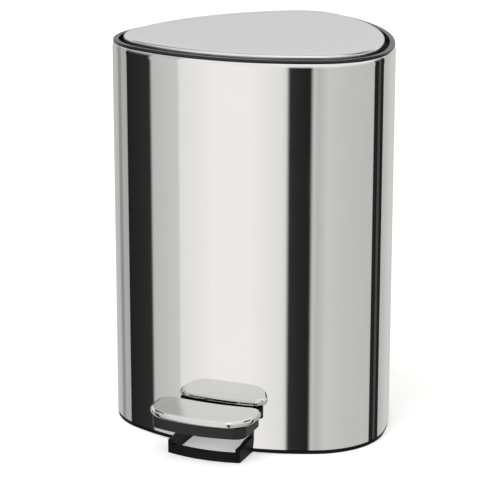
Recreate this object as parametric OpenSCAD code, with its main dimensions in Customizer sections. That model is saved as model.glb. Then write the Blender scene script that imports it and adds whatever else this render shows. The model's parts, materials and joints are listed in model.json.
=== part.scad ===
// Pedal trash can with an inner bucket, in millimetres.
// The front with the pedal faces -Y, and the floor is z = 0.

/* [Which part] */
// Node to draw, or "all" for the whole assembly

/* [Steel body] */
// Height of the steel wall's top edge above the floor
body_top = 280; // [240:1:320]
// Height of the steel wall's lower edge above the floor
body_low = 3.2; // [2:0.1:6]
// Thickness of the steel sheet
steel_t = 0.8; // [0.5:0.1:1.2]
// Distance of each front corner's centre from the middle
front_cx = 48; // [44:0.5:52]
// Fore-and-aft position of the front corner centres
front_cy = -15.5; // [-20:0.5:-10]
// Radius of the two front corners
front_r = 54; // [50:0.5:58]
// Fore-and-aft position of the back corner's centre
back_cy = 77.1; // [74:0.1:80]
// Radius of the back corner
back_r = 43.6; // [40:0.1:46]
// Radius of the three long bowed sides
side_r = 168; // [160:1:180]

/* [Lid and rim] */
// Height of the rim's top face
rim_top = 281.7; // [281:0.1:283]
// Width of the rim's top face
rim_w = 4; // [4:0.5:6]
// How far the lid's edge is set in from the steel wall
lid_inset = 8; // [7.5:0.1:9]
// Height of the lid's top face
lid_top = 284; // [283.5:0.1:285]
// Radius of the lid's top edge
lid_edge_r = 2.2; // [1.5:0.1:3]
// Fore-and-aft position of the lid's hinge axis
hinge_y = 101.2; // [98:0.1:104]
// Height of the lid's hinge axis
hinge_z = 279; // [278:0.1:279]
// How far the lid opens
lid_open_deg = 80; // [70:1:85]
// Radius of the lid's hinge pin
hinge_pin_r = 2; // [1.5:0.1:2.5]

/* [Pedal] */
// Half of the pedal plate's width
plate_hw = 39.2; // [34:0.1:42]
// Front edge of the pedal plate, at its middle
plate_front = -122.5; // [-125:0.1:-118]
// Radius of the bowed front edge of the pedal plate
plate_bow_r = 116; // [100:1:150]
// Gap between the pedal plate and the steel wall
plate_gap = 6.2; // [5:0.1:8]
// Height of the pedal plate's top face
plate_top = 36.6; // [34:0.1:40]
// Height of the pedal plate's bright edge
plate_t = 5.4; // [3:0.1:6]
// Radius of the pedal plate's front corners
plate_r = 20; // [16:0.5:24]
// Radius of the pedal plate's back corners
plate_back_r = 9; // [5:0.5:12]
// Half of the black pedal body's width
skirt_hw = 35.3; // [32:0.1:37]
// Radius of the black pedal body's front corners
skirt_r = 8.2; // [6:0.1:12]
// Height of the black pedal body's lower edge
skirt_low = 23; // [22.5:0.1:26]
// How far the black pedal body's front is set in from the plate's
skirt_inset = 2.8; // [2:0.1:5]
// Half of the pedal guard's width
guard_hw = 27.5; // [25:0.5:32]
// Front ends of the pedal guard's arms
guard_front = -101.2; // [-106:0.1:-96]
// How far the pedal guard's front bows out at its middle
guard_bow = 4; // [1:0.1:6]
// Height of the pedal guard's arms at the front
guard_h = 10; // [8:0.5:12]
// Thickness of the pedal guard's walls
guard_t = 3.5; // [3:0.1:5]

/* [Lever and push rod] */
// Fore-and-aft position of the lever's pivot
pivot_y = -19; // [-25:0.5:-12]
// Height of the lever's pivot
pivot_z = 14; // [12:0.5:16]
// Radius of the lever's pivot pin
pivot_r = 3; // [2.5:0.1:3.5]
// Radius from the lid's hinge axis to the crank pin
crank_r = 11.3; // [10:0.1:12]
// Angle of the crank below level when the lid is shut
crank_deg = 40; // [35:1:42]
// Radius of the push rod
rod_r = 2.5; // [2:0.1:3]
// Radial clearance of every running fit
run = 0.05; // [0.02:0.01:0.1]

/* [Inner bucket] */
// Wall thickness of the bucket
bucket_t = 1.6; // [1.2:0.1:2.5]
// How far the bucket's wall is set in from the steel wall
bucket_inset = 14.5; // [13:0.5:18]
// Height of the bucket's top face
bucket_top = 271.7; // [268:0.1:273]

/* [Hidden] */
$fn = 96;
eps = 0.02;

// Colours
steel_c = [0.78, 0.79, 0.80];
satin_c = [0.66, 0.67, 0.68];
zinc_c = [0.55, 0.57, 0.60];
black_c = [0.10, 0.10, 0.11];
grey_c = [0.30, 0.30, 0.32];
rubber_c = [0.05, 0.05, 0.05];

// A plan outline is three corner discs joined by three bowed sides:
// [corner x, corner y, corner radius, back y, back radius, side radius]
body_s = [front_cx, front_cy, front_r, back_cy, back_r, side_r];
bucket_back_y = 44;
bucket_back_r = 36.5;
bucket_s = [
  front_cx, front_cy, front_r - bucket_inset,
  bucket_back_y, bucket_back_r, side_r - bucket_inset
];

// Heights inside the body
base_low = 0.3;
deck_top = 36;
deck_t = 2;
base_ring_w = 9;
slot_top = 30.5;
bucket_low = deck_top + 0.2;
bucket_floor = 38;

// Rim and lid
rim_low = 266;
rim_step = 270;
ledge_in = 13.5;
rim_out = 0.5;
rim_in = rim_out + rim_w;
lid_under = 276.5;
liner_t = 1.8;
lid_skirt_low = 278.5;

// Push rod and crank
crank_dy = crank_r * cos(crank_deg);
crank_dz = crank_r * sin(crank_deg);
rod_y = hinge_y - crank_dy;
rod_travel = 2 * crank_dz;
slot_mid_y = hinge_y - (crank_r + crank_dy) / 2;
crank_z = hinge_z - crank_dz;
crank_pin_r = 1.5;
tip_r = 4;
foot_low = pivot_z + tip_r + 0.15;

// Channel behind the bucket
chan_front = 86;
chan_hw = 13;
chan_t = 1.5;
chan_top = 262.4;

// Lever bracket and its rivets
bracket_hw = 17;
bracket_len = 32;
bracket_t = 1.6;
rivet_x = 14;
rivet_ys = [-30, -8];
rivet_r = 1.5;

// Screws
guard_lug_low = 3.4;
lid_screw_x = 9;
lid_screw_ys = [62, 74];
pedal_screw_at = [7, -103];

// Damper
damper_y = 106;
damper_low = 150;
damper_top = 214;
damper_r = 5;
plunger_r = 1.5;
plunger_lug_z = 224;

function dir(a) = [cos(a), sin(a)];
function ang(v) = atan2(v[1], v[0]);
function c_front(s) = [s[0], s[1]];
function c_back(s) = [0, s[3]];

// Centre of the front side's arc
function arc_front(s) = [0, s[1] + sqrt(pow(s[5] - s[2], 2) - pow(s[0], 2))];

// Centre of the right-hand side's arc
function arc_side(s) =
  let (a = s[5] - s[2])
  let (b = s[5] - s[4])
  let (v = c_back(s) - c_front(s))
  let (n = norm(v))
  let (t = (a * a - b * b + n * n) / (2 * n))
  let (h = sqrt(a * a - t * t))
  c_front(s) + (t * v + h * [-v[1], v[0]]) / n;

// Angles where the sides meet the corners
function ang_front(s) = ang(c_front(s) - arc_front(s));
function ang_side0(s) = ang(c_front(s) - arc_side(s));
function ang_side1(s) = ang(c_back(s) - arc_side(s));

// The six arcs of an outline: centre, radius, start angle, sweep
function arcs(s) =
  let (f = ang_front(s))
  let (s0 = ang_side0(s))
  let (s1 = ang_side1(s))
  let (c = arc_side(s))
  [
    [arc_front(s), s[5], -180 - f, 2 * f + 180],
    [c_front(s), s[2], f, s0 - f],
    [c, s[5], s0, s1 - s0],
    [c_back(s), s[4], s1, 180 - 2 * s1],
    [[-c[0], c[1]], s[5], 180 - s1, s1 - s0],
    [[-s[0], s[1]], s[2], 180 - s0, s0 - f]
  ];

// Outline s, moved inwards by d
module outline(s, d) {
  r1 = s[2] - d;
  p = c_front(s) + r1 * dir(ang_front(s));
  q = c_front(s) + r1 * dir(ang_side0(s));
  y_back = s[3] + (s[4] - d) * sin(ang_side1(s));
  slope = (q[1] - p[1]) / (q[0] - p[0]);
  x_back = p[0] + (y_back - p[1]) / slope;
  y_front = p[1] - slope * p[0];
  for (a = [arcs(s)[1], arcs(s)[3], arcs(s)[5]]) {
    translate(a[0]) circle(a[1] - d);
  }
  intersection() {
    polygon([[0, y_front], [x_back, y_back], [-x_back, y_back]]);
    translate(arcs(s)[0][0]) circle(s[5] - d);
    translate(arcs(s)[2][0]) circle(s[5] - d);
    translate(arcs(s)[4][0]) circle(s[5] - d);
  }
}

// Upright solid on outline s moved in by d, from z0 to z1
module prism(s, d, z0, z1) {
  translate([0, 0, z0]) linear_extrude(z1 - z0) outline(s, d);
}

// Upright ring between insets d0 and d1, from z0 to z1
module ring(s, d0, d1, z0, z1) {
  difference() {
    prism(s, d0, z0, z1);
    prism(s, d1, z0 - 1, z1 + 1);
  }
}

// Solid on the body's outline, its top edge eased over height r in n steps
module eased(d, z0, z1, r, n) {
  prism(body_s, d, z0, z1 - r);
  for (i = [1:n]) {
    a = 90 * (i - 0.5) / n;
    prism(body_s, d + r * (1 - cos(a)), z0, z1 - r + r * sin(90 * i / n));
  }
}

// Block given by its two opposite corners
module block(p, q) {
  translate(p) cube(q - p);
}

// Round bar along X from x0 to x1
module x_bar(x0, x1, y, z, r) {
  translate([x0, y, z]) rotate([0, 90, 0]) cylinder(r = r, h = x1 - x0);
}

// Side profile (drawn as y, z) given a width from x0 to x1
module x_plate(x0, x1) {
  translate([x0, 0, 0])
    rotate([90, 0, 90]) linear_extrude(x1 - x0) children();
}

// Draws its children on both sides of the middle
module both() {
  children();
  mirror([1, 0, 0]) children();
}

module both_2d() {
  children();
  mirror([1, 0]) children();
}

// Upright round bar
module post(x, y, z0, z1, r) {
  translate([x, y, z0]) cylinder(r = r, h = z1 - z0);
}

// Screw that points up: pan head under z, shank above it
module screw_up(x, y, z, head_r, head_h, r, len) {
  post(x, y, z - head_h, z, head_r);
  post(x, y, z - eps, z + len, r);
}

// ---------------------------------------------------------------- housing

// Opening for the lever and for the guard's arms
module front_slot(clear) {
  arm = guard_hw + clear;
  neck = 13;
  depth = -58;
  block([-arm, -130, -1], [arm, depth, guard_h + 2.4]);
  block([-neck, -130, -1], [neck, depth, slot_top]);
}

module body_shell() {
  lip_r = 1.2;
  lip_w = 3;
  color(steel_c)
    difference() {
      eased(0, body_low, body_top, lip_r, 3);
      prism(body_s, steel_t, body_low - 1, body_top - steel_t);
      prism(body_s, lip_w, body_low - 1, body_top + 1);
      front_slot(0.2);
    }
}

// Rim with a ledge inside; a pocket at the back leaves room for the turning lid
module top_rim() {
  edge_r = 1.2;
  wall_out = 3.2;
  ledge_t = 2;
  pocket_hw = 38;
  pocket_y = 84;
  strip_in = 1.5;
  color(black_c)
    difference() {
      union() {
        eased(rim_out, body_top, rim_top, edge_r, 3);
        prism(body_s, wall_out, rim_low, body_top + 0.5);
      }
      prism(body_s, rim_in, rim_low - 1, rim_step - ledge_t);
      prism(body_s, ledge_in, rim_step - ledge_t - 1, rim_step + 1);
      prism(body_s, rim_in, rim_step, rim_top + 1);
      intersection() {
        union() {
          prism(body_s, wall_out - 0.1, rim_low - 1, body_top);
          prism(body_s, strip_in, body_top - 1, rim_top + 1);
        }
        block([-pocket_hw, pocket_y, rim_low - 1], [pocket_hw, 130, rim_top + 1]);
      }
    }
}

// Rubber stops on the rim's ledge, under the lid's edge
module lid_bumpers() {
  r = 1.7;
  d = 9.6;
  x = 38;
  f = arc_front(body_s);
  y = f[1] - sqrt(pow(side_r - d, 2) - x * x);
  color(rubber_c)
    both() {
      post(x, y, rim_step, lid_under - 0.1, r);
      post(front_cx + front_r - d, front_cy, rim_step, lid_under - 0.1, r);
    }
}

foot_at = [[72, -38], [30, 88]];
foot_r = 7.5;
foot_h = 2.6;
lug_at = [34, -66];

module base_tray() {
  wall_out = steel_t + 0.1;
  wall_t = 2;
  rib_x = 25;
  rib_t = 2;
  color(black_c)
    difference() {
      union() {
        ring(body_s, 0.4, base_ring_w, base_low, body_low - 0.05);
        ring(body_s, wall_out, wall_out + wall_t, base_low, deck_top);
        prism(body_s, wall_out, deck_top - deck_t, deck_top);
        both() {
          for (p = foot_at) post(p[0], p[1], base_low, deck_top - 1, foot_r + 1.5);
          post(lug_at[0], lug_at[1], 6.1, deck_top - 1, 5);
          block([rib_x, -57, 4], [rib_x + rib_t, 104, deck_top - 1]);
          for (y = [-30, 30]) {
            block([rib_x, y, 12], [rib_x + 62, y + rib_t, deck_top - 1]);
          }
        }
      }
      front_slot(0.3);
      both() {
        for (p = foot_at) post(p[0], p[1], 0, foot_h + 0.05, foot_r + 0.05);
        post(lug_at[0], lug_at[1], 0, 18, 1.4);
        for (y = rivet_ys) post(rivet_x, y, 30, 40, rivet_r);
      }
      post(0, rod_y, 30, 40, 8.5);
    }
}

module rubber_feet() {
  color(rubber_c)
    both() {
      for (p = foot_at) {
        post(p[0], p[1], 0, foot_h, foot_r);
      }
    }
}

// U-shaped frame under the pedal, held to the base by two lugs
module pedal_guard() {
  back = -60;
  wall_h = 6.8;
  lug_t = 2.6;
  bow_r = (guard_hw * guard_hw + guard_bow * guard_bow) / (2 * guard_bow);
  bow_y = guard_front - guard_bow + bow_r;
  color(black_c)
    difference() {
      union() {
        both() {
          x_plate(guard_hw - guard_t, guard_hw)
            polygon([
              [guard_front, base_low], [back, base_low], [back, guard_h + 2],
              [plate_back, guard_h + 1.4], [guard_front + 8, guard_h],
              [guard_front, guard_h]
            ]);
          block([guard_hw - 1, -72, guard_lug_low], [40, back, guard_lug_low + lug_t]);
        }
        intersection() {
          block([-guard_hw, guard_front - guard_bow, base_low],
            [guard_hw, guard_front + guard_t, wall_h]);
          difference() {
            post(0, bow_y, 0, wall_h + 1, bow_r);
            post(0, bow_y, -1, wall_h + 2, bow_r - guard_t);
          }
        }
      }
      both() post(lug_at[0], lug_at[1], 0, 10, 1.8);
    }
}

module guard_screws() {
  color(zinc_c)
    both() screw_up(lug_at[0], lug_at[1], guard_lug_low, 3, 1.6, 1.4, 12);
}

// ------------------------------------------------------------ lever mounting

module lever_bracket() {
  hw = bracket_hw;
  t = bracket_t;
  ear_r = 6.5;
  top = deck_top - deck_t;
  y0 = pivot_y - bracket_len / 2;
  y1 = pivot_y + bracket_len / 2;
  color(zinc_c)
    difference() {
      union() {
        block([-hw, y0, top - t], [hw, y1, top]);
        both()
          x_plate(hw - t, hw) {
            translate([pivot_y, pivot_z]) circle(ear_r);
            polygon([
              [pivot_y - ear_r, pivot_z], [pivot_y + ear_r, pivot_z],
              [y1, top - t / 2], [y0, top - t / 2]
            ]);
          }
      }
      x_bar(-20, 20, pivot_y, pivot_z, pivot_r);
      both()
        for (y = rivet_ys) post(rivet_x, y, top - 5, top + 5, rivet_r);
    }
}

module bracket_rivets() {
  low = deck_top - deck_t - bracket_t;
  head_r = 2.8;
  tail_r = 2.4;
  tail_dx = 1.2;
  color(zinc_c)
    both()
      for (y = rivet_ys) {
        post(rivet_x - tail_dx, y, low - 1.2, low, tail_r);
        post(rivet_x, y, low - 1, deck_top + 0.9, rivet_r);
        post(rivet_x, y, deck_top, deck_top + 1, head_r);
      }
}

module pivot_pin() {
  color(zinc_c)
    difference() {
      union() {
        x_bar(-17, 20.4, pivot_y, pivot_z, pivot_r);
        x_bar(-18.6, -17, pivot_y, pivot_z, pivot_r + 1.6);
      }
      difference() {
        x_bar(17.6, 18.6, pivot_y, pivot_z, pivot_r + 1);
        x_bar(17, 19, pivot_y, pivot_z, pivot_r - 0.8);
      }
    }
}

module pivot_clip() {
  color(zinc_c)
    difference() {
      x_bar(17.7, 18.5, pivot_y, pivot_z, pivot_r + 2.6);
      x_bar(17, 19, pivot_y, pivot_z, pivot_r - 0.75);
      block([17, pivot_y - 1.8, pivot_z - 8], [19, pivot_y + 1.8, pivot_z]);
    }
}

// ------------------------------------------------- channel, guides and hinge

module rod_channel() {
  low = deck_top;
  back = 115.4;
  foot_hw = 20;
  color(grey_c)
    difference() {
      union() {
        block([-chan_hw, chan_front, low], [chan_hw, back, chan_top]);
        block([-foot_hw, chan_front, low], [foot_hw, 104, low + 2]);
      }
      block([-chan_hw + chan_t, chan_front + chan_t, low - 1],
        [chan_hw - chan_t, back + 1, chan_top + 1]);
    }
}

module rod_guides() {
  hw = chan_hw - chan_t;
  color(black_c)
    for (z = [58, 245]) {
      difference() {
        block([-hw, chan_front + chan_t, z], [hw, rod_y + 7, z + 9]);
        post(0, rod_y, z - 1, z + 10, rod_r + run);
      }
    }
}

// Steel bracket with two ears that carry the lid's hinge pin
module hinge_bracket() {
  t = 1.6;
  ear_x = 14;
  ear_r = 3.8;
  flange_low = 238;
  color(zinc_c)
    difference() {
      union() {
        intersection() {
          prism(body_s, steel_t + 0.1, chan_top, chan_top + t);
          block([-20, chan_front + 0.5, chan_top], [20, 130, chan_top + t]);
        }
        intersection() {
          ring(body_s, steel_t + 0.1, steel_t + 0.1 + t, flange_low, chan_top + t);
          block([-18, 100, flange_low], [18, 130, chan_top + t]);
        }
        both()
          x_plate(ear_x, ear_x + 2) {
            translate([hinge_y, hinge_z]) circle(ear_r);
            polygon([
              [hinge_y - 3.4, hinge_z + 1.6], [hinge_y + 3.3, hinge_z - 1.8],
              [hinge_y - 4, chan_top + 1], [hinge_y - 13, chan_top + 1]
            ]);
          }
      }
      x_bar(-30, 30, hinge_y, hinge_z, hinge_pin_r);
      block([-6.6, 80, chan_top - 1], [6.6, rod_y + 6, chan_top + 5]);
    }
}

module hinge_pin() {
  color(zinc_c)
    difference() {
      x_bar(-18.4, 18.4, hinge_y, hinge_z, hinge_pin_r);
      both()
        difference() {
          x_bar(16.3, 17.2, hinge_y, hinge_z, hinge_pin_r + 1);
          x_bar(16, 18, hinge_y, hinge_z, hinge_pin_r - 0.6);
        }
    }
}

module hinge_clips() {
  color(zinc_c)
    both()
      difference() {
        x_bar(16.35, 17.15, hinge_y, hinge_z, hinge_pin_r + 1.6);
        x_bar(16, 18, hinge_y, hinge_z, hinge_pin_r - 0.55);
        block([16, hinge_y - 1.2, hinge_z - 5], [18, hinge_y + 1.2, hinge_z]);
      }
}

// ------------------------------------------------------------------- damper

module damper_cylinder() {
  bore_r = 4;
  color(black_c)
    difference() {
      post(0, damper_y, damper_low, damper_top, damper_r);
      post(0, damper_y, damper_low + 3, damper_top - 3, bore_r);
      post(0, damper_y, damper_top - 4, damper_top + 1, plunger_r + run);
    }
}

module damper_clips() {
  hw = chan_hw - chan_t;
  color(grey_c)
    for (z = [156, 198]) {
      difference() {
        block([-hw, damper_y - 7, z], [hw, damper_y + 7, z + 6]);
        post(0, damper_y, z - 1, z + 7, damper_r);
      }
    }
}

module damper_plunger() {
  color(zinc_c) {
    post(0, damper_y, damper_low + 22, plunger_lug_z + 1, plunger_r);
    post(0, damper_y, damper_low + 20, damper_low + 24, 3.8);
    difference() {
      block([-4.5, rod_y - 3.6, plunger_lug_z], [4.5, damper_y + 3.5, plunger_lug_z + 3]);
      post(0, rod_y, plunger_lug_z - 1, plunger_lug_z + 4, rod_r);
    }
  }
}

// ------------------------------------------------------------------- bucket

module inner_bucket() {
  flange_w = 2.5;
  color(black_c) {
    difference() {
      prism(bucket_s, 0, bucket_floor, bucket_top);
      prism(bucket_s, bucket_t, bucket_floor + 1.8, bucket_top + 1);
    }
    ring(bucket_s, -flange_w, bucket_t / 2, bucket_top - 1.5, bucket_top);
    ring(bucket_s, 3, 5, bucket_low, bucket_floor + 0.5);
  }
}

// ---------------------------------------------------------------------- lid

module lid_skin() {
  d = lid_inset;
  under = lid_top - steel_t;
  color(satin_c)
    difference() {
      eased(d, lid_skirt_low, lid_top, lid_edge_r, 5);
      prism(body_s, d + steel_t, lid_skirt_low - 1, lid_top - lid_edge_r);
      prism(body_s, d + lid_edge_r / 2, lid_skirt_low - 1, under);
    }
}

module lid_liner() {
  wall_d = lid_inset + steel_t + 0.15;
  color(black_c)
    difference() {
      union() {
        prism(body_s, lid_inset + 0.4, lid_under, lid_under + liner_t);
        ring(body_s, wall_d, wall_d + 1.6, lid_under, lid_top - 2.4);
      }
      block([-19.5, 79, lid_under - 1], [19.5, 130, lid_top]);
      both()
        for (y = lid_screw_ys) post(lid_screw_x, y, lid_under - 1, lid_under + 5, 1.6);
    }
}

// Plate inside the lid with two hinge knuckles and the crank's two cheeks
module lid_hinge_arm() {
  low = lid_under + liner_t + 0.1;
  plate_rise = 2;
  boss_r = 3.2;
  color(zinc_c)
    difference() {
      union() {
        block([-14, 56, low], [14, 88, low + plate_rise]);
        both() {
          x_plate(8.5, 12.8) {
            translate([hinge_y, hinge_z]) circle(3.9);
            translate([80, low - 0.8])
              square([hinge_y - 80, plate_rise + 0.8]);
          }
          x_plate(3.2, 5.2) {
            translate([rod_y, crank_z]) circle(boss_r);
            polygon([
              [80, low + plate_rise], [hinge_y - 5.2, low + plate_rise],
              [rod_y + boss_r, crank_z], [rod_y - boss_r, crank_z], [82, low]
            ]);
          }
        }
      }
      x_bar(-20, 20, hinge_y, hinge_z, hinge_pin_r + run);
      x_bar(-20, 20, rod_y, crank_z, crank_pin_r);
      both()
        for (y = lid_screw_ys) post(lid_screw_x, y, low - 1, low + 5, 1.3);
    }
}

module lid_screws() {
  color(zinc_c)
    both()
      for (y = lid_screw_ys) screw_up(lid_screw_x, y, lid_under, 2.8, 1, 1.3, 3.6);
}

module crank_pin() {
  color(zinc_c) {
    x_bar(-6, 6, rod_y, crank_z, crank_pin_r);
    x_bar(-6.4, -5.2, rod_y, crank_z, crank_pin_r + 0.9);
  }
}

// ----------------------------------------------------------------- push rod

module push_rod() {
  color(zinc_c) post(0, rod_y, foot_low + 4, crank_z - 6, rod_r);
}

// Eye on top of the rod: its slot lets the crank pin swing fore and aft
module rod_head() {
  eye_r = 4.4;
  slot_r = crank_pin_r + 0.45;
  reach = (crank_r - crank_dy) / 2;
  color(black_c)
    difference() {
      union() {
        x_plate(-2.8, 2.8) {
          translate([slot_mid_y - reach, crank_z]) circle(eye_r);
          translate([slot_mid_y + reach, crank_z]) circle(eye_r);
          translate([slot_mid_y - reach, crank_z - eye_r])
            square([2 * reach, 2 * eye_r]);
        }
        post(0, rod_y, crank_z - 14, crank_z - 4, 4.2);
      }
      post(0, rod_y, crank_z - 15, crank_z - 6, rod_r);
      block([-5, slot_mid_y - reach, crank_z - slot_r],
        [5, slot_mid_y + reach, crank_z + slot_r]);
      x_bar(-5, 5, slot_mid_y - reach, crank_z, slot_r);
      x_bar(-5, 5, slot_mid_y + reach, crank_z, slot_r);
    }
}

module rod_foot() {
  color(black_c)
    difference() {
      union() {
        post(0, rod_y, foot_low, foot_low + 3, 4.6);
        post(0, rod_y, foot_low + 2, foot_low + 12, 4);
      }
      post(0, rod_y, foot_low + 4, foot_low + 13, rod_r);
    }
}

// -------------------------------------------------------------------- pedal

lever_hw = 11;
lever_t = 3;
pad_top = plate_top - plate_t - 2;
skirt_back_r = 2.7;
skirt_back_in = 0.3;
plate_back = arc_front(body_s)[1] - side_r - plate_gap;

module pedal_lever() {
  neck_y = -92;
  tip_y = rod_y - 3;
  h = lever_t / 2;
  color(zinc_c)
    difference() {
      union() {
        x_plate(-lever_hw, lever_hw)
          polygon([
            [-112, pad_top], [-112, pad_top - lever_t],
            [neck_y, pad_top - lever_t], [pivot_y - 4, pivot_z - h],
            [pivot_y, pivot_z - h], [pivot_y, pivot_z + h],
            [pivot_y - 3.5, pivot_z + h], [neck_y + 0.6, pad_top]
          ]);
        x_plate(-8, 8)
          polygon([
            [pivot_y, pivot_z - h], [tip_y, pivot_z - h],
            [tip_y, pivot_z + h], [pivot_y, pivot_z + h]
          ]);
        x_bar(-12, 12, pivot_y, pivot_z, 7);
      }
      x_bar(-14, 14, pivot_y, pivot_z, 4.6);
      both() post(pedal_screw_at[0], pedal_screw_at[1], 20, 40, 1.6);
    }
}

module lever_bushes() {
  color(grey_c)
    both()
      difference() {
        union() {
          x_bar(5, 12, pivot_y, pivot_z, 4.6);
          x_bar(12, 15, pivot_y, pivot_z, 6);
        }
        x_bar(4, 16, pivot_y, pivot_z, pivot_r + run);
      }
}

// Plastic nose on the lever's back end, which lifts the push rod
module lever_tip() {
  h = lever_t / 2;
  color(grey_c)
    difference() {
      union() {
        x_bar(-9.5, 9.5, rod_y, pivot_z, tip_r);
        block([-9.5, rod_y - 12, pivot_z - 3.2], [9.5, rod_y, pivot_z + 3.2]);
      }
      block([-8, rod_y - 14, pivot_z - h], [8, rod_y - 3, pivot_z + h]);
    }
}

// Plan of the pedal: a bowed front, round corners and a hollow back that runs
// alongside the steel wall. Its half width and the radii of its front and back
// corners are given where its front is set in by bow_in; all but its back then
// moves in by d more, and its back by back_in.
module pedal_plan(hw, front_r, back_r, bow_in, d, back_in) {
  bow_r = plate_bow_r - bow_in;
  bow = [0, plate_front + plate_bow_r];
  cx = hw - front_r;
  cy = bow[1] - sqrt(pow(bow_r - front_r, 2) - cx * cx);
  tx = bow_r * cx / (bow_r - front_r);
  wall = arc_front(body_s);
  wall_r = side_r + plate_gap + back_in;
  corner_r = back_r - d;
  bx = hw - back_r;
  by = wall[1] - sqrt(pow(wall_r + corner_r, 2) - bx * bx);
  difference() {
    union() {
      both_2d() {
        translate([cx, cy]) circle(front_r - d);
        translate([bx, by]) circle(corner_r);
        translate([0, cy]) square([hw - d, by - cy]);
        translate([0, cy]) square([bx, plate_back + 8 - cy]);
      }
      intersection() {
        translate(bow) circle(bow_r - d);
        translate([-tx, plate_front - 1]) square([2 * tx, cy + 2 - plate_front]);
      }
    }
    translate(wall) circle(wall_r);
  }
}

// Upright solid on the bright plate's plan, d inside it, from z0 to z1
module plate_prism(d, z0, z1) {
  translate([0, 0, z0])
    linear_extrude(z1 - z0) pedal_plan(plate_hw, plate_r, plate_back_r, 0, d, d);
}

// Upright solid on the black pedal body's plan, d inside it, from z0 to z1
module skirt_prism(d, z0, z1) {
  translate([0, 0, z0])
    linear_extrude(z1 - z0)
      pedal_plan(skirt_hw, skirt_r, skirt_back_r, skirt_inset, d, skirt_back_in + d);
}

module pedal_body() {
  wall = 2.2;
  notch_hw = lever_hw + 1.5;
  color(black_c)
    difference() {
      skirt_prism(0, skirt_low, plate_top - plate_t);
      skirt_prism(wall, skirt_low - 1, pad_top);
      block([-notch_hw, plate_back - 6, 0], [notch_hw, plate_back + 9, pad_top]);
      both() post(pedal_screw_at[0], pedal_screw_at[1], pad_top - 5, pad_top + 1.4, 1.3);
    }
}

// Bright cover with rounded edges all round
module pedal_plate() {
  nose = plate_t / 2;
  mid = plate_top - nose;
  steps = 3;
  color(steel_c)
    for (i = [1:steps]) {
      d = nose * (1 - sqrt(1 - pow((i - 0.5) / steps, 2)));
      plate_prism(d, mid - nose * i / steps, mid + nose * i / steps);
    }
}

module pedal_screws() {
  color(zinc_c)
    both() screw_up(pedal_screw_at[0], pedal_screw_at[1], pad_top - lever_t, 3, 1.5, 1.3, 4.4);
}

body_shell();
top_rim();
lid_bumpers();
base_tray();
rubber_feet();
pedal_guard();
guard_screws();
lever_bracket();
bracket_rivets();
pivot_pin();
pivot_clip();
rod_channel();
rod_guides();
hinge_bracket();
hinge_pin();
hinge_clips();
damper_cylinder();
damper_clips();
inner_bucket();
lid_skin();
lid_liner();
lid_hinge_arm();
lid_screws();
crank_pin();
push_rod();
rod_head();
rod_foot();
damper_plunger();
pedal_lever();
lever_bushes();
lever_tip();
pedal_body();
pedal_plate();
pedal_screws();
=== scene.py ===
"""Pedal trash can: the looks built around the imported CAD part. Lengths in metres unless a name says mm."""

import json
import math

import bmesh
import bpy
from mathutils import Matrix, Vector


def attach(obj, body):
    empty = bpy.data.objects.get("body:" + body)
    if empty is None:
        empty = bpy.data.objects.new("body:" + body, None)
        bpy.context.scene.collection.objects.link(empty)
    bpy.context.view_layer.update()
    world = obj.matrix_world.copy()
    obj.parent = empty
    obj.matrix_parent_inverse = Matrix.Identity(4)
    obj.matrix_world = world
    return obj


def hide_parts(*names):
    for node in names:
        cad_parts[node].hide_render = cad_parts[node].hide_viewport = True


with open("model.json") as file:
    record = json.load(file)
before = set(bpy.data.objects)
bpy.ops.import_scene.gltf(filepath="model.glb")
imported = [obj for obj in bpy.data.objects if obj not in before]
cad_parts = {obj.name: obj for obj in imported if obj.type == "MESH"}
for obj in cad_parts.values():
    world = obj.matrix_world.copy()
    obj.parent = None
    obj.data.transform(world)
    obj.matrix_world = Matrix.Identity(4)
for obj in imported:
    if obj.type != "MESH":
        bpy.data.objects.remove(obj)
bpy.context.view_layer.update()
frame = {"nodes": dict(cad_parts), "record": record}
scene = bpy.context.scene
MM = 0.001

# ---------------------------------------------------------------- plan outlines (mm)
# corner x, corner y, corner radius, back y, back radius, side radius
BODY = (48.0, -15.5, 54.0, 77.1, 43.6, 168.0)
BUCKET = (48.0, -15.5, 39.5, 44.0, 36.5, 153.5)


def arcs(s):
    """The six arcs of an outline: centre x, centre y, radius, start angle, sweep."""
    cx, cy, r, by, br, big = s
    front = (0.0, cy + math.sqrt((big - r) ** 2 - cx ** 2))
    a, b = big - r, big - br
    vx, vy = -cx, by - cy
    n = math.hypot(vx, vy)
    t = (a * a - b * b + n * n) / (2 * n)
    h = math.sqrt(a * a - t * t)
    sx = cx + (t * vx - h * vy) / n
    sy = cy + (t * vy + h * vx) / n
    f = math.atan2(cy - front[1], cx)
    s0 = math.atan2(cy - sy, cx - sx)
    s1 = math.atan2(by - sy, -sx)
    pi = math.pi
    return [
        (front[0], front[1], big, -pi - f, 2 * f + pi),
        (cx, cy, r, f, s0 - f),
        (sx, sy, big, s0, s1 - s0),
        (0.0, by, br, s1, pi - 2 * s1),
        (-sx, sy, big, pi - s1, s1 - s0),
        (-cx, cy, r, pi - s0, s0 - f),
    ]


def stations(s, step=2.5, breaks=()):
    """Points round an outline as (centre x, centre y, radius, angle); breaks are x places on the front."""
    out = []
    for i, (cx, cy, r, a0, sweep) in enumerate(arcs(s)):
        n = max(6, int(r * sweep / step))
        angles = [a0 + sweep * k / n for k in range(n)]
        if i == 0:
            angles += [-math.pi / 2 + math.asin(x / r) for x in breaks]
            angles.sort()
        out += [(cx, cy, r, a) for a in angles]
    return out


def at(st, d):
    """The plan point of a station, moved inwards by d mm, in metres."""
    cx, cy, r, a = st
    return (MM * (cx + (r - d) * math.cos(a)), MM * (cy + (r - d) * math.sin(a)))


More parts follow.
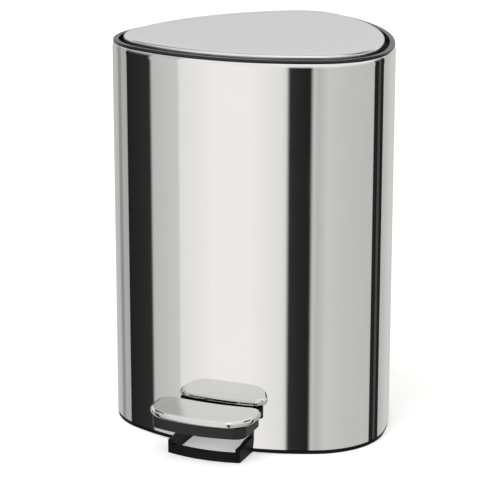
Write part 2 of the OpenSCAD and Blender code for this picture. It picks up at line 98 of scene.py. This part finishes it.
def bend(cx, cz, r, a0, a1, n=8):
    """Points of a rounding in a (inset, height) profile; angle 0 points outwards, 90 up."""
    pts = []
    for i in range(n + 1):
        a = math.radians(a0 + (a1 - a0) * i / n)
        pts.append((cx - r * math.cos(a), cz + r * math.sin(a)))
    return pts


def new_object(name, bm, smooth_deg=35.0):
    bmesh.ops.recalc_face_normals(bm, faces=bm.faces)
    mesh = bpy.data.meshes.new(name)
    bm.to_mesh(mesh)
    bm.free()
    obj = bpy.data.objects.new(name, mesh)
    scene.collection.objects.link(obj)
    smooth(obj, smooth_deg)
    return obj


def smooth(obj, deg):
    mesh = obj.data
    mesh.shade_smooth()
    mesh.set_sharp_from_angle(angle=math.radians(deg))


def bevel(obj, width, angle_deg):
    m = obj.modifiers.new("edge", "BEVEL")
    m.width = width
    m.segments = 2
    m.limit_method = "ANGLE"
    m.angle_limit = math.radians(angle_deg)
    return m


def skin(bm, rows, closed=False):
    """Quads between rows of vertices that run round a ring."""
    n = len(rows[0])
    pairs = list(zip(rows, rows[1:])) + ([(rows[-1], rows[0])] if closed else [])
    for lo, hi in pairs:
        for i in range(n):
            j = (i + 1) % n
            bm.faces.new((lo[i], lo[j], hi[j], hi[i]))


def sweep(name, st, profile, closed=True, caps=(False, False), smooth_deg=35.0):
    """A (inset, height) profile in mm taken round the stations. Open profiles can be capped."""
    bm = bmesh.new()
    rows = []
    for d, z in profile:
        rows.append([bm.verts.new((*at(p, d), z * MM)) for p in st])
    skin(bm, rows, closed)
    if caps[0]:
        bm.faces.new(rows[0])
    if caps[1]:
        bm.faces.new(rows[-1])
    return new_object(name, bm, smooth_deg)


def modified(obj):
    """Applies the object's modifiers to its mesh."""
    dg = bpy.context.evaluated_depsgraph_get()
    mesh = bpy.data.meshes.new_from_object(obj.evaluated_get(dg), depsgraph=dg)
    obj.modifiers.clear()
    obj.data = mesh


def box_object(name, lo, hi):
    bm = bmesh.new()
    bmesh.ops.create_cube(bm, size=1.0)
    for v in bm.verts:
        v.co = Vector([lo[k] + (hi[k] - lo[k]) * (v.co[k] + 0.5) for k in range(3)]) * MM
    return new_object(name, bm)


def combine(obj, others, operation):
    """Applies a boolean with each of the other objects, which are then gone."""
    for other in others:
        m = obj.modifiers.new(operation.lower(), "BOOLEAN")
        m.operation = operation
        m.solver = "EXACT"
        m.object = other
    modified(obj)
    for other in others:
        bpy.data.objects.remove(other)


def cut(obj, cutters):
    combine(obj, cutters, "DIFFERENCE")


# ---------------------------------------------------------------- materials
# the part of a noise's range that is spread over a colour or roughness
NOISE_SPAN = (0.3, 0.7)


class Mat:
    """Builds a procedural material on a Principled BSDF."""

    def __init__(self, name):
        self.m = bpy.data.materials.new(name)
        self.m.use_nodes = True
        self.t = self.m.node_tree
        self.b = self.t.nodes["Principled BSDF"]
        self.coord = self.t.nodes.new("ShaderNodeTexCoord")

    def set(self, **values):
        for key, value in values.items():
            self.b.inputs[key.replace("_", " ")].default_value = value

    def node(self, kind, **values):
        n = self.t.nodes.new(kind)
        for key, value in values.items():
            n.inputs[key].default_value = value
        return n

    def link(self, a, b):
        self.t.links.new(a, b)

    def noise(self, scale, detail=4.0, stretch=None, rough=0.55):
        n = self.node("ShaderNodeTexNoise", Scale=scale, Detail=detail, Roughness=rough)
        if stretch:
            mp = self.t.nodes.new("ShaderNodeMapping")
            mp.inputs["Scale"].default_value = stretch
            self.link(self.coord.outputs["Object"], mp.inputs["Vector"])
            self.link(mp.outputs["Vector"], n.inputs["Vector"])
        else:
            self.link(self.coord.outputs["Object"], n.inputs["Vector"])
        return n.outputs["Fac"]

    def colour(self, fac, dark, light):
        r = self.t.nodes.new("ShaderNodeValToRGB")
        for element, place, rgb in zip(r.color_ramp.elements, NOISE_SPAN, (dark, light)):
            element.position = place
            element.color = (*rgb, 1)
        self.link(fac, r.inputs["Fac"])
        self.link(r.outputs["Color"], self.b.inputs["Base Color"])

    def rough(self, fac, lo, hi):
        n = self.t.nodes.new("ShaderNodeMapRange")
        for key, value in zip(("From Min", "From Max", "To Min", "To Max"), (*NOISE_SPAN, lo, hi)):
            n.inputs[key].default_value = value
        self.link(fac, n.inputs["Value"])
        self.link(n.outputs["Result"], self.b.inputs["Roughness"])

    def bump(self, fac, distance, strength=1.0):
        n = self.node("ShaderNodeBump", Strength=strength, Distance=distance)
        self.link(fac, n.inputs["Height"])
        self.link(n.outputs["Normal"], self.b.inputs["Normal"])


def metal(name, dark, light, rough, scale, stretch=None, bump=0.0):
    """Metal between two colours and two roughnesses; stretch draws the grain out into brushing."""
    k = Mat(name)
    k.set(Metallic=1.0)
    f = k.noise(scale, 5.0, stretch)
    k.colour(f, dark, light)
    k.rough(f, *rough)
    if bump:
        k.bump(f, bump)
    return k.m


def plastic(name, dark, light, rough, grain, depth, scale=900.0, level=0.5):
    """Moulded plastic or rubber with a fine grain; level is how much it shines."""
    k = Mat(name)
    k.set(Metallic=0.0, IOR=1.49, Specular_IOR_Level=level)
    k.colour(k.noise(35.0, 3.0), dark, light)
    k.rough(k.noise(60.0, 3.0), *rough)
    k.bump(k.noise(scale, 2.0, None, 0.6), depth, grain)
    return k.m


M_POLISH = metal("polished_steel", (0.90, 0.90, 0.90), (0.92, 0.92, 0.92), (0.035, 0.055), 40.0)
M_SATIN = metal("satin_steel", (0.865, 0.86, 0.90), (0.90, 0.895, 0.935), (0.27, 0.33), 260.0,
                (1.0, 14.0, 1.0), 2e-5)
M_BRIGHT = metal("bright_steel", (0.74, 0.74, 0.735), (0.78, 0.78, 0.775), (0.06, 0.10), 90.0)
M_ZINC = metal("zinc_steel", (0.42, 0.43, 0.45), (0.58, 0.59, 0.61), (0.28, 0.42), 180.0, None, 2e-5)
M_BLACK = plastic("black_plastic", (0.007, 0.007, 0.009), (0.010, 0.010, 0.013), (0.38, 0.46),
                  0.35, 3e-5, level=0.38)
M_RIM = plastic("rim_plastic", (0.008, 0.008, 0.009), (0.012, 0.012, 0.013), (0.20, 0.26),
                0.10, 2e-5, level=0.34)
# Painted shade: a darker, duller copy of the black plastic, standing in for the shade on the guard under the
# pedal and on the base ring along the floor
M_SHADED_BLACK = plastic("shaded_black_plastic", (0.002, 0.002, 0.002), (0.004, 0.004, 0.004), (0.40, 0.48),
                  0.35, 3e-5, level=0.14)
M_GREY = plastic("grey_plastic", (0.045, 0.045, 0.05), (0.06, 0.06, 0.065), (0.40, 0.50), 0.5, 4e-5)
M_BUCKET = plastic("bucket_plastic", (0.016, 0.016, 0.018), (0.022, 0.022, 0.024), (0.34, 0.44),
                   0.4, 3e-5)
M_RUBBER = plastic("black_rubber", (0.008, 0.008, 0.008), (0.013, 0.013, 0.013), (0.72, 0.85),
                   0.6, 6e-5, 600.0)
BY_SLOT = {
    "polished_steel": M_POLISH, "satin_steel": M_SATIN, "bright_steel": M_BRIGHT,
    "zinc_steel": M_ZINC, "black_plastic": M_BLACK, "grey_plastic": M_GREY,
    "bucket_plastic": M_BUCKET, "black_rubber": M_RUBBER,
}


def piece(obj, body, nodes, slot, material=None):
    """Declares a piece: the body it rides, the CAD nodes it stands for and its material slot."""
    obj.data.materials.clear()
    obj.data.materials.append(material or BY_SLOT[slot])
    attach(obj, body)
    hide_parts(*nodes)


# ---------------------------------------------------------------- CAD nodes that stay
REPLACED = {
    "body_shell", "top_rim", "lid_skin", "lid_liner",
    "pedal_plate", "pedal_body", "pedal_guard", "inner_bucket",
}
slot_of = {p["node"]: p["material_slot"] for p in frame["record"]["subparts"]}
for name, obj in frame["nodes"].items():
    if name in REPLACED:
        continue
    obj.data.materials.clear()
    # the base ring is black plastic, given the darker copy as painted shade along the floor
    obj.data.materials.append(M_SHADED_BLACK if name == "base_tray" else BY_SLOT[slot_of[name]])
    bevel(obj, 0.3 * MM, 50).harden_normals = True

# ---------------------------------------------------------------- steel wall
# slot for the pedal: half widths and tops of its low part, for the guard, and its neck, for the lever
SLOT_ARM, SLOT_ARM_Z = 27.7, 12.4
SLOT_NECK, SLOT_TOP = 13.0, 30.5
# bottom and top of the wall, and the thickness of its sheet
LOW, TOP, SHEET = 3.2, 280.0, 0.8
# the sheet leans in over the last few millimetres, then rolls over its lip
BEND_R, BEND_H = 12.0, 4.4
LIP, LIP_END = 1.2, 3.4


def make_shell():
    st = stations(BODY, 2.0, (-SLOT_ARM, -SLOT_NECK, SLOT_NECK, SLOT_ARM))
    lean = math.degrees(math.asin(BEND_H / BEND_R))
    lip_z = TOP - LIP
    lean_z = lip_z + LIP * math.sin(math.radians(lean)) - BEND_H
    rows_up = 40
    heights = [LOW, SLOT_ARM_Z, SLOT_TOP]
    heights += [SLOT_TOP + (lean_z - 1 - SLOT_TOP) * i / rows_up for i in range(1, rows_up + 1)]
    profile = [(0.0, z) for z in heights]
    profile += bend(BEND_R, lean_z, BEND_R, 0, lean, 10)
    lip_in = profile[-1][0] + LIP * math.cos(math.radians(lean))
    profile += bend(lip_in, lip_z, LIP, lean, 90, 8)[1:] + [(LIP_END, TOP)]
    bm = bmesh.new()
    rows = [[bm.verts.new((*at(p, d), z * MM)) for p in st] for d, z in profile]
    n = len(st)
    for k, (lo, hi) in enumerate(zip(rows, rows[1:])):
        for i in range(n):
            j = (i + 1) % n
            x = abs(lo[i].co.x + lo[j].co.x) / 2 / MM
            front = lo[i].co.y < -60 * MM
            if front and ((k == 0 and x < SLOT_ARM) or (k == 1 and x < SLOT_NECK)):
                continue
            bm.faces.new((lo[i], lo[j], hi[j], hi[i]))
    bmesh.ops.delete(bm, geom=[v for v in bm.verts if not v.link_faces], context="VERTS")
    obj = new_object("wall", bm, 180.0)
    m = obj.modifiers.new("thick", "SOLIDIFY")
    m.thickness = SHEET * MM
    m.offset = -1.0
    modified(obj)
    smooth(obj, 40.0)
    return obj


piece(make_shell(), "housing", ["body_shell"], "polished_steel")


# ---------------------------------------------------------------- black rim
# insets of the rim's edge and of its skirt inside the wall
RIM_OUT, RIM_IN, RIM_TOP = 0.55, 4.5, 281.7
RIM_SKIRT, RIM_LOW = 3.2, 266.0
# the ledge that the bucket's rolled rim hangs on
LEDGE_IN, LEDGE_TOP, LEDGE_T = 13.5, 270.0, 2.0
# the pocket round the hinge, and the insets it is cut from, below and above the wall's top
POCKET_HW, POCKET_FRONT = 38, 84
POCKET_LOW, POCKET_HIGH = 3.1, 1.9


def make_rim():
    st = stations(BODY, 2.5)
    edge, inner = 1.0, 0.6
    profile = [(RIM_IN, RIM_LOW), (RIM_SKIRT, RIM_LOW), (RIM_SKIRT, TOP), (RIM_OUT, TOP)]
    profile += bend(RIM_OUT + edge, RIM_TOP - edge, edge, 0, 90, 5)
    profile += bend(RIM_IN - inner, RIM_TOP - inner, inner, 90, 180, 4)
    profile += [(RIM_IN, LEDGE_TOP), (LEDGE_IN, LEDGE_TOP)]
    profile += [(LEDGE_IN, LEDGE_TOP - LEDGE_T), (RIM_IN, LEDGE_TOP - LEDGE_T)]
    obj = sweep("rim", st, profile)
    cutters = []
    for d, z0, z1 in ((POCKET_LOW, RIM_LOW - 1, TOP), (POCKET_HIGH, TOP - 0.1, TOP + 4)):
        cutter = sweep("rim_cut", st, [(d, z0), (d, z1)], False, (True, True))
        pocket = box_object("pocket", (-POCKET_HW, POCKET_FRONT, 260), (POCKET_HW, 130, 290))
        combine(cutter, [pocket], "INTERSECT")
        cutters.append(cutter)
    cut(obj, cutters)
    smooth(obj, 40.0)
    return obj


piece(make_rim(), "housing", ["top_rim"], "black_plastic", M_RIM)


# ---------------------------------------------------------------- lid
LID_IN, LID_TOP, LID_LOW = 8.0, 284.0, 278.5
LID_EDGE, LID_SHEET = 1.7, 0.8


def make_lid():
    st = stations(BODY, 2.0)
    edge_in, edge_z = LID_IN + LID_EDGE, LID_TOP - LID_EDGE
    middle = LID_IN + 20
    profile = [(middle, LID_TOP - LID_SHEET)] + bend(edge_in, edge_z, LID_EDGE - LID_SHEET, 90, 0, 6)
    profile += [(LID_IN + LID_SHEET, LID_LOW), (LID_IN, LID_LOW)]
    profile += bend(edge_in, edge_z, LID_EDGE, 0, 90, 12) + [(middle, LID_TOP)]
    return sweep("lid", st, profile, False, (True, True), 40.0)


piece(make_lid(), "lid", ["lid_skin"], "satin_steel")


# the liner's plate, the ring on it that fits inside the skin, and the gap for the hinge arm
LINER_IN, LINER_LOW, LINER_TOP = 8.4, 276.5, 278.3
RING_OUT, RING_IN, RING_TOP = 8.95, 10.55, 281.6
HINGE_GAP_HW, HINGE_GAP_FRONT = 19.5, 79


def make_liner():
    st = stations(BODY, 2.5)
    edge = 0.5
    profile = [(11.0, LINER_LOW)] + bend(LINER_IN + edge, LINER_LOW + edge, edge, -90, 0, 3)
    profile += [(LINER_IN, LINER_TOP), (RING_OUT, LINER_TOP), (RING_OUT, RING_TOP)]
    profile += [(RING_IN, RING_TOP), (RING_IN, LINER_TOP)]
    obj = sweep("liner", st, profile, False, (True, True))
    gap = box_object("gap", (-HINGE_GAP_HW, HINGE_GAP_FRONT, 270), (HINGE_GAP_HW, 130, 290))
    cut(obj, [gap])
    smooth(obj, 40.0)
    return obj


piece(make_liner(), "lid", ["lid_liner"], "black_plastic")


# ---------------------------------------------------------------- bucket
BUCKET_FOOT, BUCKET_LOW, BUCKET_TOP, BUCKET_T = 36.2, 38.0, 271.7, 1.6
FOOT_OUT, FOOT_IN = 3.0, 5.0
# how far the rolled rim stands out, and its height
FLANGE, FLANGE_H = 2.5, 1.5


def make_bucket():
    st = stations(BUCKET, 3.0)
    low, top, t = BUCKET_LOW, BUCKET_TOP, BUCKET_T
    corner, lip, chamfer = 3.0, 0.5, 0.4
    inner_r, floor_t = 2.0, 1.8
    profile = [(FOOT_IN, BUCKET_FOOT), (FOOT_OUT, BUCKET_FOOT), (FOOT_OUT, low), (1.2, low)]
    profile += bend(corner, low + corner, corner, -60, 0, 4)
    profile += [(0.0, top - FLANGE_H), (-FLANGE, top - FLANGE_H)]
    profile += bend(lip - FLANGE, top - lip, lip, 0, 90, 3) + [(t - chamfer, top), (t, top - chamfer)]
    profile += bend(t + inner_r, low + floor_t + inner_r, inner_r, 0, -90, 4)
    bm = bmesh.new()
    rows = [[bm.verts.new((*at(p, d), z * MM)) for p in st] for d, z in profile]
    skin(bm, rows)
    bm.faces.new(rows[-1])
    under = [bm.verts.new((*at(p, FOOT_IN), low * MM)) for p in st]
    skin(bm, [rows[0], under])
    bm.faces.new(under)
    return new_object("bucket", bm, 40.0)


piece(make_bucket(), "bucket", ["inner_bucket"], "bucket_plastic")

# ---------------------------------------------------------------- pedal
# half width, radius of the front corners, radius of the back corners, how far the front is set in
PLATE = (39.2, 20.0, 9.0, 0.0)
SKIRT = (35.3, 8.2, 2.7, 2.8)
PEDAL_FRONT, PEDAL_BOW, PEDAL_GAP = -122.45, 116.0, 6.2
PLATE_TOP, PLATE_T = 36.6, 5.4
# the black body under the plate, hollow up to PAD_TOP, and the notch in its back for the lever
SKIRT_LOW, SKIRT_T, SKIRT_BACK_IN, PAD_TOP = 23.0, 2.2, 0.3, 29.2
NOTCH_HW, NOTCH_FRONT, NOTCH_BACK = 12.5, -92.4, -77


def arc(cx, cy, r, a0, a1, n):
    """Points of an arc, from angle a0 to a1 in radians."""
    return [(cx + r * math.cos(a0 + (a1 - a0) * i / n), cy + r * math.sin(a0 + (a1 - a0) * i / n))
            for i in range(n + 1)]


def pedal_loop(shape, d, back_in):
    """Plan of the pedal in mm: bowed front, round corners and a hollow back alongside the wall.

    All but the back moves in by d, and the back by back_in.
    """
    hw, front_r, back_r, bow_in = shape
    bow_r = PEDAL_BOW - bow_in
    bow_y = PEDAL_FRONT + PEDAL_BOW
    cx = hw - front_r
    cy = bow_y - math.sqrt((bow_r - front_r) ** 2 - cx * cx)
    bow_a = math.asin(cx / (bow_r - front_r))
    wall_y = arcs(BODY)[0][1]
    wall_r = BODY[5] + PEDAL_GAP + back_in
    corner_r = back_r - d
    bx = hw - back_r
    by = wall_y - math.sqrt((wall_r + corner_r) ** 2 - bx * bx)
    back_a = math.asin(bx / (wall_r + corner_r))
    down = -math.pi / 2
    right = arc(0.0, bow_y, bow_r - d, down, down + bow_a, 14)
    right += arc(cx, cy, front_r - d, down + bow_a, 0.0, 20)
    right += arc(bx, by, corner_r, 0.0, math.pi / 2 + back_a, 12)
    right += arc(0.0, wall_y, wall_r, down + back_a, down, 14)[1:]
    left = [(-x, y) for x, y in reversed(right)]
    return right + left[1:-1]


def loft(name, loops, smooth_deg=35.0):
    """Closed skin through loops of the same point count, given as lists of (x, y, z) in mm."""
    bm = bmesh.new()
    rows = [[bm.verts.new((x * MM, y * MM, z * MM)) for x, y, z in loop] for loop in loops]
    skin(bm, rows)
    bm.faces.new(rows[0])
    bm.faces.new(rows[-1])
    return new_object(name, bm, smooth_deg)


def level(points, z):
    return [(x, y, z) for x, y in points]


def make_plate():
    """The bright cover: a flat top with a full round edge."""
    nose = PLATE_T / 2
    mid = PLATE_TOP - nose
    steps = 20
    loops = []
    for i in range(steps + 1):
        a = math.radians(-90 + 180 * i / steps)
        d = nose * (1 - math.cos(a))
        loops.append(level(pedal_loop(PLATE, d, d), mid + nose * math.sin(a)))
    return loft("plate", loops, 60.0)


piece(make_plate(), "pedal", ["pedal_plate"], "bright_steel")


def make_pedal_body():
    edge = 0.6
    skirt = [(edge, SKIRT_LOW), (edge / 4, SKIRT_LOW + edge / 4)]
    skirt += [(0.0, SKIRT_LOW + edge), (0.0, PLATE_TOP - PLATE_T)]
    obj = loft("skirt", [level(pedal_loop(SKIRT, d, SKIRT_BACK_IN + d), z) for d, z in skirt])
    inner = pedal_loop(SKIRT, SKIRT_T, SKIRT_BACK_IN + SKIRT_T)
    hollow = loft("hollow", [level(inner, z) for z in (SKIRT_LOW - 1, PAD_TOP)])
    notch = box_object("notch", (-NOTCH_HW, NOTCH_FRONT, 0), (NOTCH_HW, NOTCH_BACK, PAD_TOP))
    cut(obj, [hollow, notch])
    smooth(obj, 40.0)
    return obj


piece(make_pedal_body(), "pedal", ["pedal_body"], "black_plastic")


# ---------------------------------------------------------------- pedal guard
GUARD_HW, GUARD_T, GUARD_BOW = 27.5, 3.5, 4.0
GUARD_FRONT, GUARD_BACK, GUARD_LOW = -101.2, -60.0, 0.3
# heights of the arms, from front to back, and of the front wall
ARM_H, ARM_MID_H, ARM_BACK_H, FRONT_H = 10.0, 11.4, 12.0, 6.8
ARM_LEVEL, ARM_MID = 8.0, -86.4
LUG_END, LUG_FRONT, LUG_LOW, LUG_TOP = 40, -72, 3.4, 6.0


def guard_arm(sign):
    side = [
        (GUARD_FRONT, GUARD_LOW), (GUARD_BACK, GUARD_LOW), (GUARD_BACK, ARM_BACK_H),
        (ARM_MID, ARM_MID_H), (GUARD_FRONT + ARM_LEVEL, ARM_H), (GUARD_FRONT, ARM_H),
    ]
    bm = bmesh.new()
    faces = [[bm.verts.new((sign * x * MM, y * MM, z * MM)) for y, z in side]
             for x in (GUARD_HW - GUARD_T, GUARD_HW)]
    skin(bm, faces)
    bm.faces.new(faces[0])
    bm.faces.new(faces[1])
    return new_object("arm", bm)


def guard_front():
    """The low bowed wall between the ends of the arms."""
    bow_r = (GUARD_HW * GUARD_HW + GUARD_BOW * GUARD_BOW) / (2 * GUARD_BOW)
    bow_y = GUARD_FRONT - GUARD_BOW + bow_r
    half = 16
    bm = bmesh.new()
    rows = []
    for k in range(-half, half + 1):
        a = math.asin(GUARD_HW / bow_r) * k / half
        (x0, y0), (x1, y1) = [
            (r * math.sin(a), bow_y - r * math.cos(a)) for r in (bow_r, bow_r - GUARD_T)]
        section = ((x0, y0, GUARD_LOW), (x1, y1, GUARD_LOW), (x1, y1, FRONT_H), (x0, y0, FRONT_H))
        rows.append([bm.verts.new((x * MM, y * MM, z * MM)) for x, y, z in section])
    skin(bm, rows)
    bm.faces.new(rows[0])
    bm.faces.new(rows[-1])
    return new_object("cross", bm)


def make_guard():
    obj = guard_arm(1)
    parts = [guard_arm(-1), guard_front()]
    for s in (-1, 1):
        lo, hi = sorted((s * (GUARD_HW - 1), s * LUG_END))
        parts.append(box_object("lug", (lo, LUG_FRONT, LUG_LOW), (hi, GUARD_BACK, LUG_TOP)))
    combine(obj, parts, "UNION")
    obj.name = "guard"
    bevel(obj, 0.4 * MM, 40)
    modified(obj)
    smooth(obj, 40.0)
    return obj


# the guard is black plastic, given the darker copy as painted shade under the pedal
piece(make_guard(), "housing", ["pedal_guard"], "black_plastic", M_SHADED_BLACK)

# ---------------------------------------------------------------- floor and light
def make_floor():
    """A round floor whose edge curves up into a wall, so that no view sees past it."""
    flat, rise, height = 4.5, 1.2, 3.4
    sides, steps = 96, 12
    curve = [math.pi / 2 * i / steps for i in range(1, steps + 1)]
    profile = [(0.5, 0.0), (flat, 0.0)]
    profile += [(flat + rise * math.sin(a), rise * (1 - math.cos(a))) for a in curve]
    profile.append((flat + rise, height))
    around = [2 * math.pi * i / sides for i in range(sides)]
    bm = bmesh.new()
    centre = bm.verts.new((0, 0, 0))
    rows = [[bm.verts.new((r * math.cos(a), r * math.sin(a), z)) for a in around] for r, z in profile]
    for i in range(sides):
        bm.faces.new((centre, rows[0][i], rows[0][(i + 1) % sides]))
    skin(bm, rows)
    return new_object("floor", bm)


floor = make_floor()
fm = Mat("floor_white")
fm.set(Roughness=0.9, Specular_IOR_Level=0.0, Emission_Strength=0.36,
       Base_Color=(0.86, 0.86, 0.86, 1), Emission_Color=(1, 1, 1, 1))
floor.data.materials.append(fm.m)
floor.visible_glossy = False

# The studio seen in the polished wall: bright panels and dark flags, by compass direction.
# 0 degrees is straight ahead of the pedal, positive towards +X:
# (from, to, brightness where it begins, brightness where it ends).
PANELS = [
    (-180, -112, 0.62, 0.50), (-112, -100, 0.30, 0.30), (-100, -84.3, 0.45, 0.43),
    (-84.3, -60.8, 0.014, 0.027), (-60.8, -43.5, 0.52, 0.62), (-43.5, -26, 0.78, 0.88),
    (-26, -5, 0.90, 0.90), (-5, 11, 0.90, 0.78), (11, 13.8, 0.78, 0.66),
    (13.8, 25.6, 0.030, 0.014), (25.6, 29, 0.62, 0.49), (29, 40, 0.51, 0.60),
    (40, 72, 0.62, 0.57), (72, 121, 0.57, 0.53), (121, 131, 0.016, 0.016),
    (131, 137, 0.07, 0.07), (137, 146, 0.016, 0.016), (146, 180, 0.50, 0.62),
]
# half the width of the soft edge between two panels, in degrees
EDGE = 1.1
# tints of the darker and of the brighter panels
NEUTRAL, WARM = (0.995, 1.0, 0.965), (1.02, 1.0, 0.98)
WARM_FROM = (0.6, 0.75)
# brightness above the panels: behind, overhead behind, front left, front, high in front, softbox
BACKDROP, CEILING, UPPER_LEFT, UPPER, HIGH, SOFTBOX = 0.97, 0.04, 0.54, 0.86, 0.90, 1.22
# where those change: compass degrees, or heights as the sine of the angle
BEHIND_FROM, LEFT_TO, SOFTBOX_ACROSS = (85, 105), (-47, -40), (0, 42)
PANELS_TO, HIGH_FROM, CEILING_UP, SOFTBOX_UP = (0.08, 0.38), (0.46, 0.60), (0.50, 0.82), (0.58, 0.985)


class WorldNodes:
    """Arithmetic in a world's node tree, on values that are numbers or sockets."""

    def __init__(self, tree):
        self.t = tree

    def math(self, op, *values):
        n = self.t.nodes.new("ShaderNodeMath")
        n.operation = op
        for socket, v in zip(n.inputs, values):
            if isinstance(v, (int, float)):
                socket.default_value = v
            else:
                self.t.links.new(v, socket)
        return n.outputs[0]

    def ramp(self, value, a, b, lo=0.0, hi=1.0, soft=True):
        """lo below a, hi above b."""
        n = self.t.nodes.new("ShaderNodeMapRange")
        n.interpolation_type = "SMOOTHSTEP" if soft else "LINEAR"
        for key, v in (("From Min", a), ("From Max", b), ("To Min", lo), ("To Max", hi)):
            n.inputs[key].default_value = v
        self.t.links.new(value, n.inputs["Value"])
        return n.outputs["Result"]

    def band(self, value, a, b, edge):
        """1 between a and b, 0 outside."""
        rise = self.ramp(value, a - edge, a + edge)
        fall = self.ramp(value, b - edge, b + edge, 1.0, 0.0)
        return self.math("MULTIPLY", rise, fall)

    def blend(self, factor, a, b):
        """a where factor is 0, b where it is 1."""
        step = self.math("SUBTRACT", b, a)
        return self.math("MULTIPLY_ADD", factor, step, a)


def rad(*degrees):
    return [math.radians(d) for d in degrees]


def build_world():
    world = bpy.data.worlds.new("studio")
    scene.world = world
    world.use_nodes = True
    t = world.node_tree
    for n in list(t.nodes):
        t.nodes.remove(n)
    w = WorldNodes(t)
    coord = t.nodes.new("ShaderNodeTexCoord")
    sep = t.nodes.new("ShaderNodeSeparateXYZ")
    t.links.new(coord.outputs["Generated"], sep.inputs[0])
    up = sep.outputs["Z"]
    azimuth = w.math("ARCTAN2", sep.outputs["X"], w.math("MULTIPLY", sep.outputs["Y"], -1.0))

    # the panels: each one's slope, then the step to the next
    total = PANELS[0][2]
    for k, (a, b, v0, v1) in enumerate(PANELS):
        if v1 != v0:
            total = w.math("ADD", total, w.ramp(azimuth, *rad(a, b), 0.0, v1 - v0, False))
        change = PANELS[k + 1][2] - v1 if k + 1 < len(PANELS) else 0.0
        if change:
            total = w.math("ADD", total, w.ramp(azimuth, *rad(b - EDGE, b + EDGE), 0.0, change))
    warm = w.ramp(total, *WARM_FROM)

    # above the panels: pale walls, a softbox over the front, and behind it a dark ceiling
    behind = w.ramp(w.math("ABSOLUTE", azimuth), *rad(*BEHIND_FROM))
    dark = w.math("MULTIPLY", behind, w.band(up, *CEILING_UP, 0.05))
    lamp_across = w.band(azimuth, *rad(*SOFTBOX_ACROSS), 0.08)
    lamp = w.math("MULTIPLY", lamp_across, w.band(up, *SOFTBOX_UP, 0.02))
    front = w.ramp(azimuth, *rad(*LEFT_TO), UPPER_LEFT, UPPER)
    front = w.blend(w.ramp(up, *HIGH_FROM), front, HIGH)
    walls = w.blend(behind, front, BACKDROP)
    above = w.blend(lamp, w.blend(dark, walls, CEILING), SOFTBOX)
    value = w.blend(w.ramp(up, *PANELS_TO), total, above)

    tint = t.nodes.new("ShaderNodeMix")
    tint.data_type = "RGBA"
    t.links.new(warm, tint.inputs["Factor"])
    tint.inputs["A"].default_value = (*NEUTRAL, 1)
    tint.inputs["B"].default_value = (*WARM, 1)
    bg = t.nodes.new("ShaderNodeBackground")
    t.links.new(tint.outputs["Result"], bg.inputs["Color"])
    t.links.new(value, bg.inputs["Strength"])
    out = t.nodes.new("ShaderNodeOutputWorld")
    t.links.new(bg.outputs[0], out.inputs[0])


build_world()


def area(name, place, aim, size, power):
    """A soft light that the steel doesn't mirror."""
    light = bpy.data.lights.new(name, "AREA")
    light.shape = "RECTANGLE"
    light.size, light.size_y = size
    light.energy = power
    obj = bpy.data.objects.new(name, light)
    obj.location = place
    obj.rotation_euler = (Vector(aim) - Vector(place)).to_track_quat("-Z", "Y").to_euler()
    scene.collection.objects.link(obj)
    obj.visible_glossy = False


area("key", (-0.5, -1.9, 1.3), (0, 0, 0.05), (1.2, 1.0), 15)
area("fill", (1.6, -0.8, 1.4), (0, 0, 0.1), (1.2, 1.2), 5)

scene.view_settings.view_transform = "Standard"

# ---------------------------------------------------------------- camera
# a long lens to the right of the front, looking down by PITCH degrees
PITCH, TURN, LENS = 15.72, 22.64, 159.85
cam = bpy.data.cameras.new("camera")
cam.sensor_width = 36.0
cam.lens = LENS
camera = bpy.data.objects.new("camera", cam)
camera.location = (0.5626, -1.3840, 0.5534)
camera.rotation_euler = (math.radians(90 - PITCH), 0, math.radians(TURN))
scene.collection.objects.link(camera)
scene.camera = camera
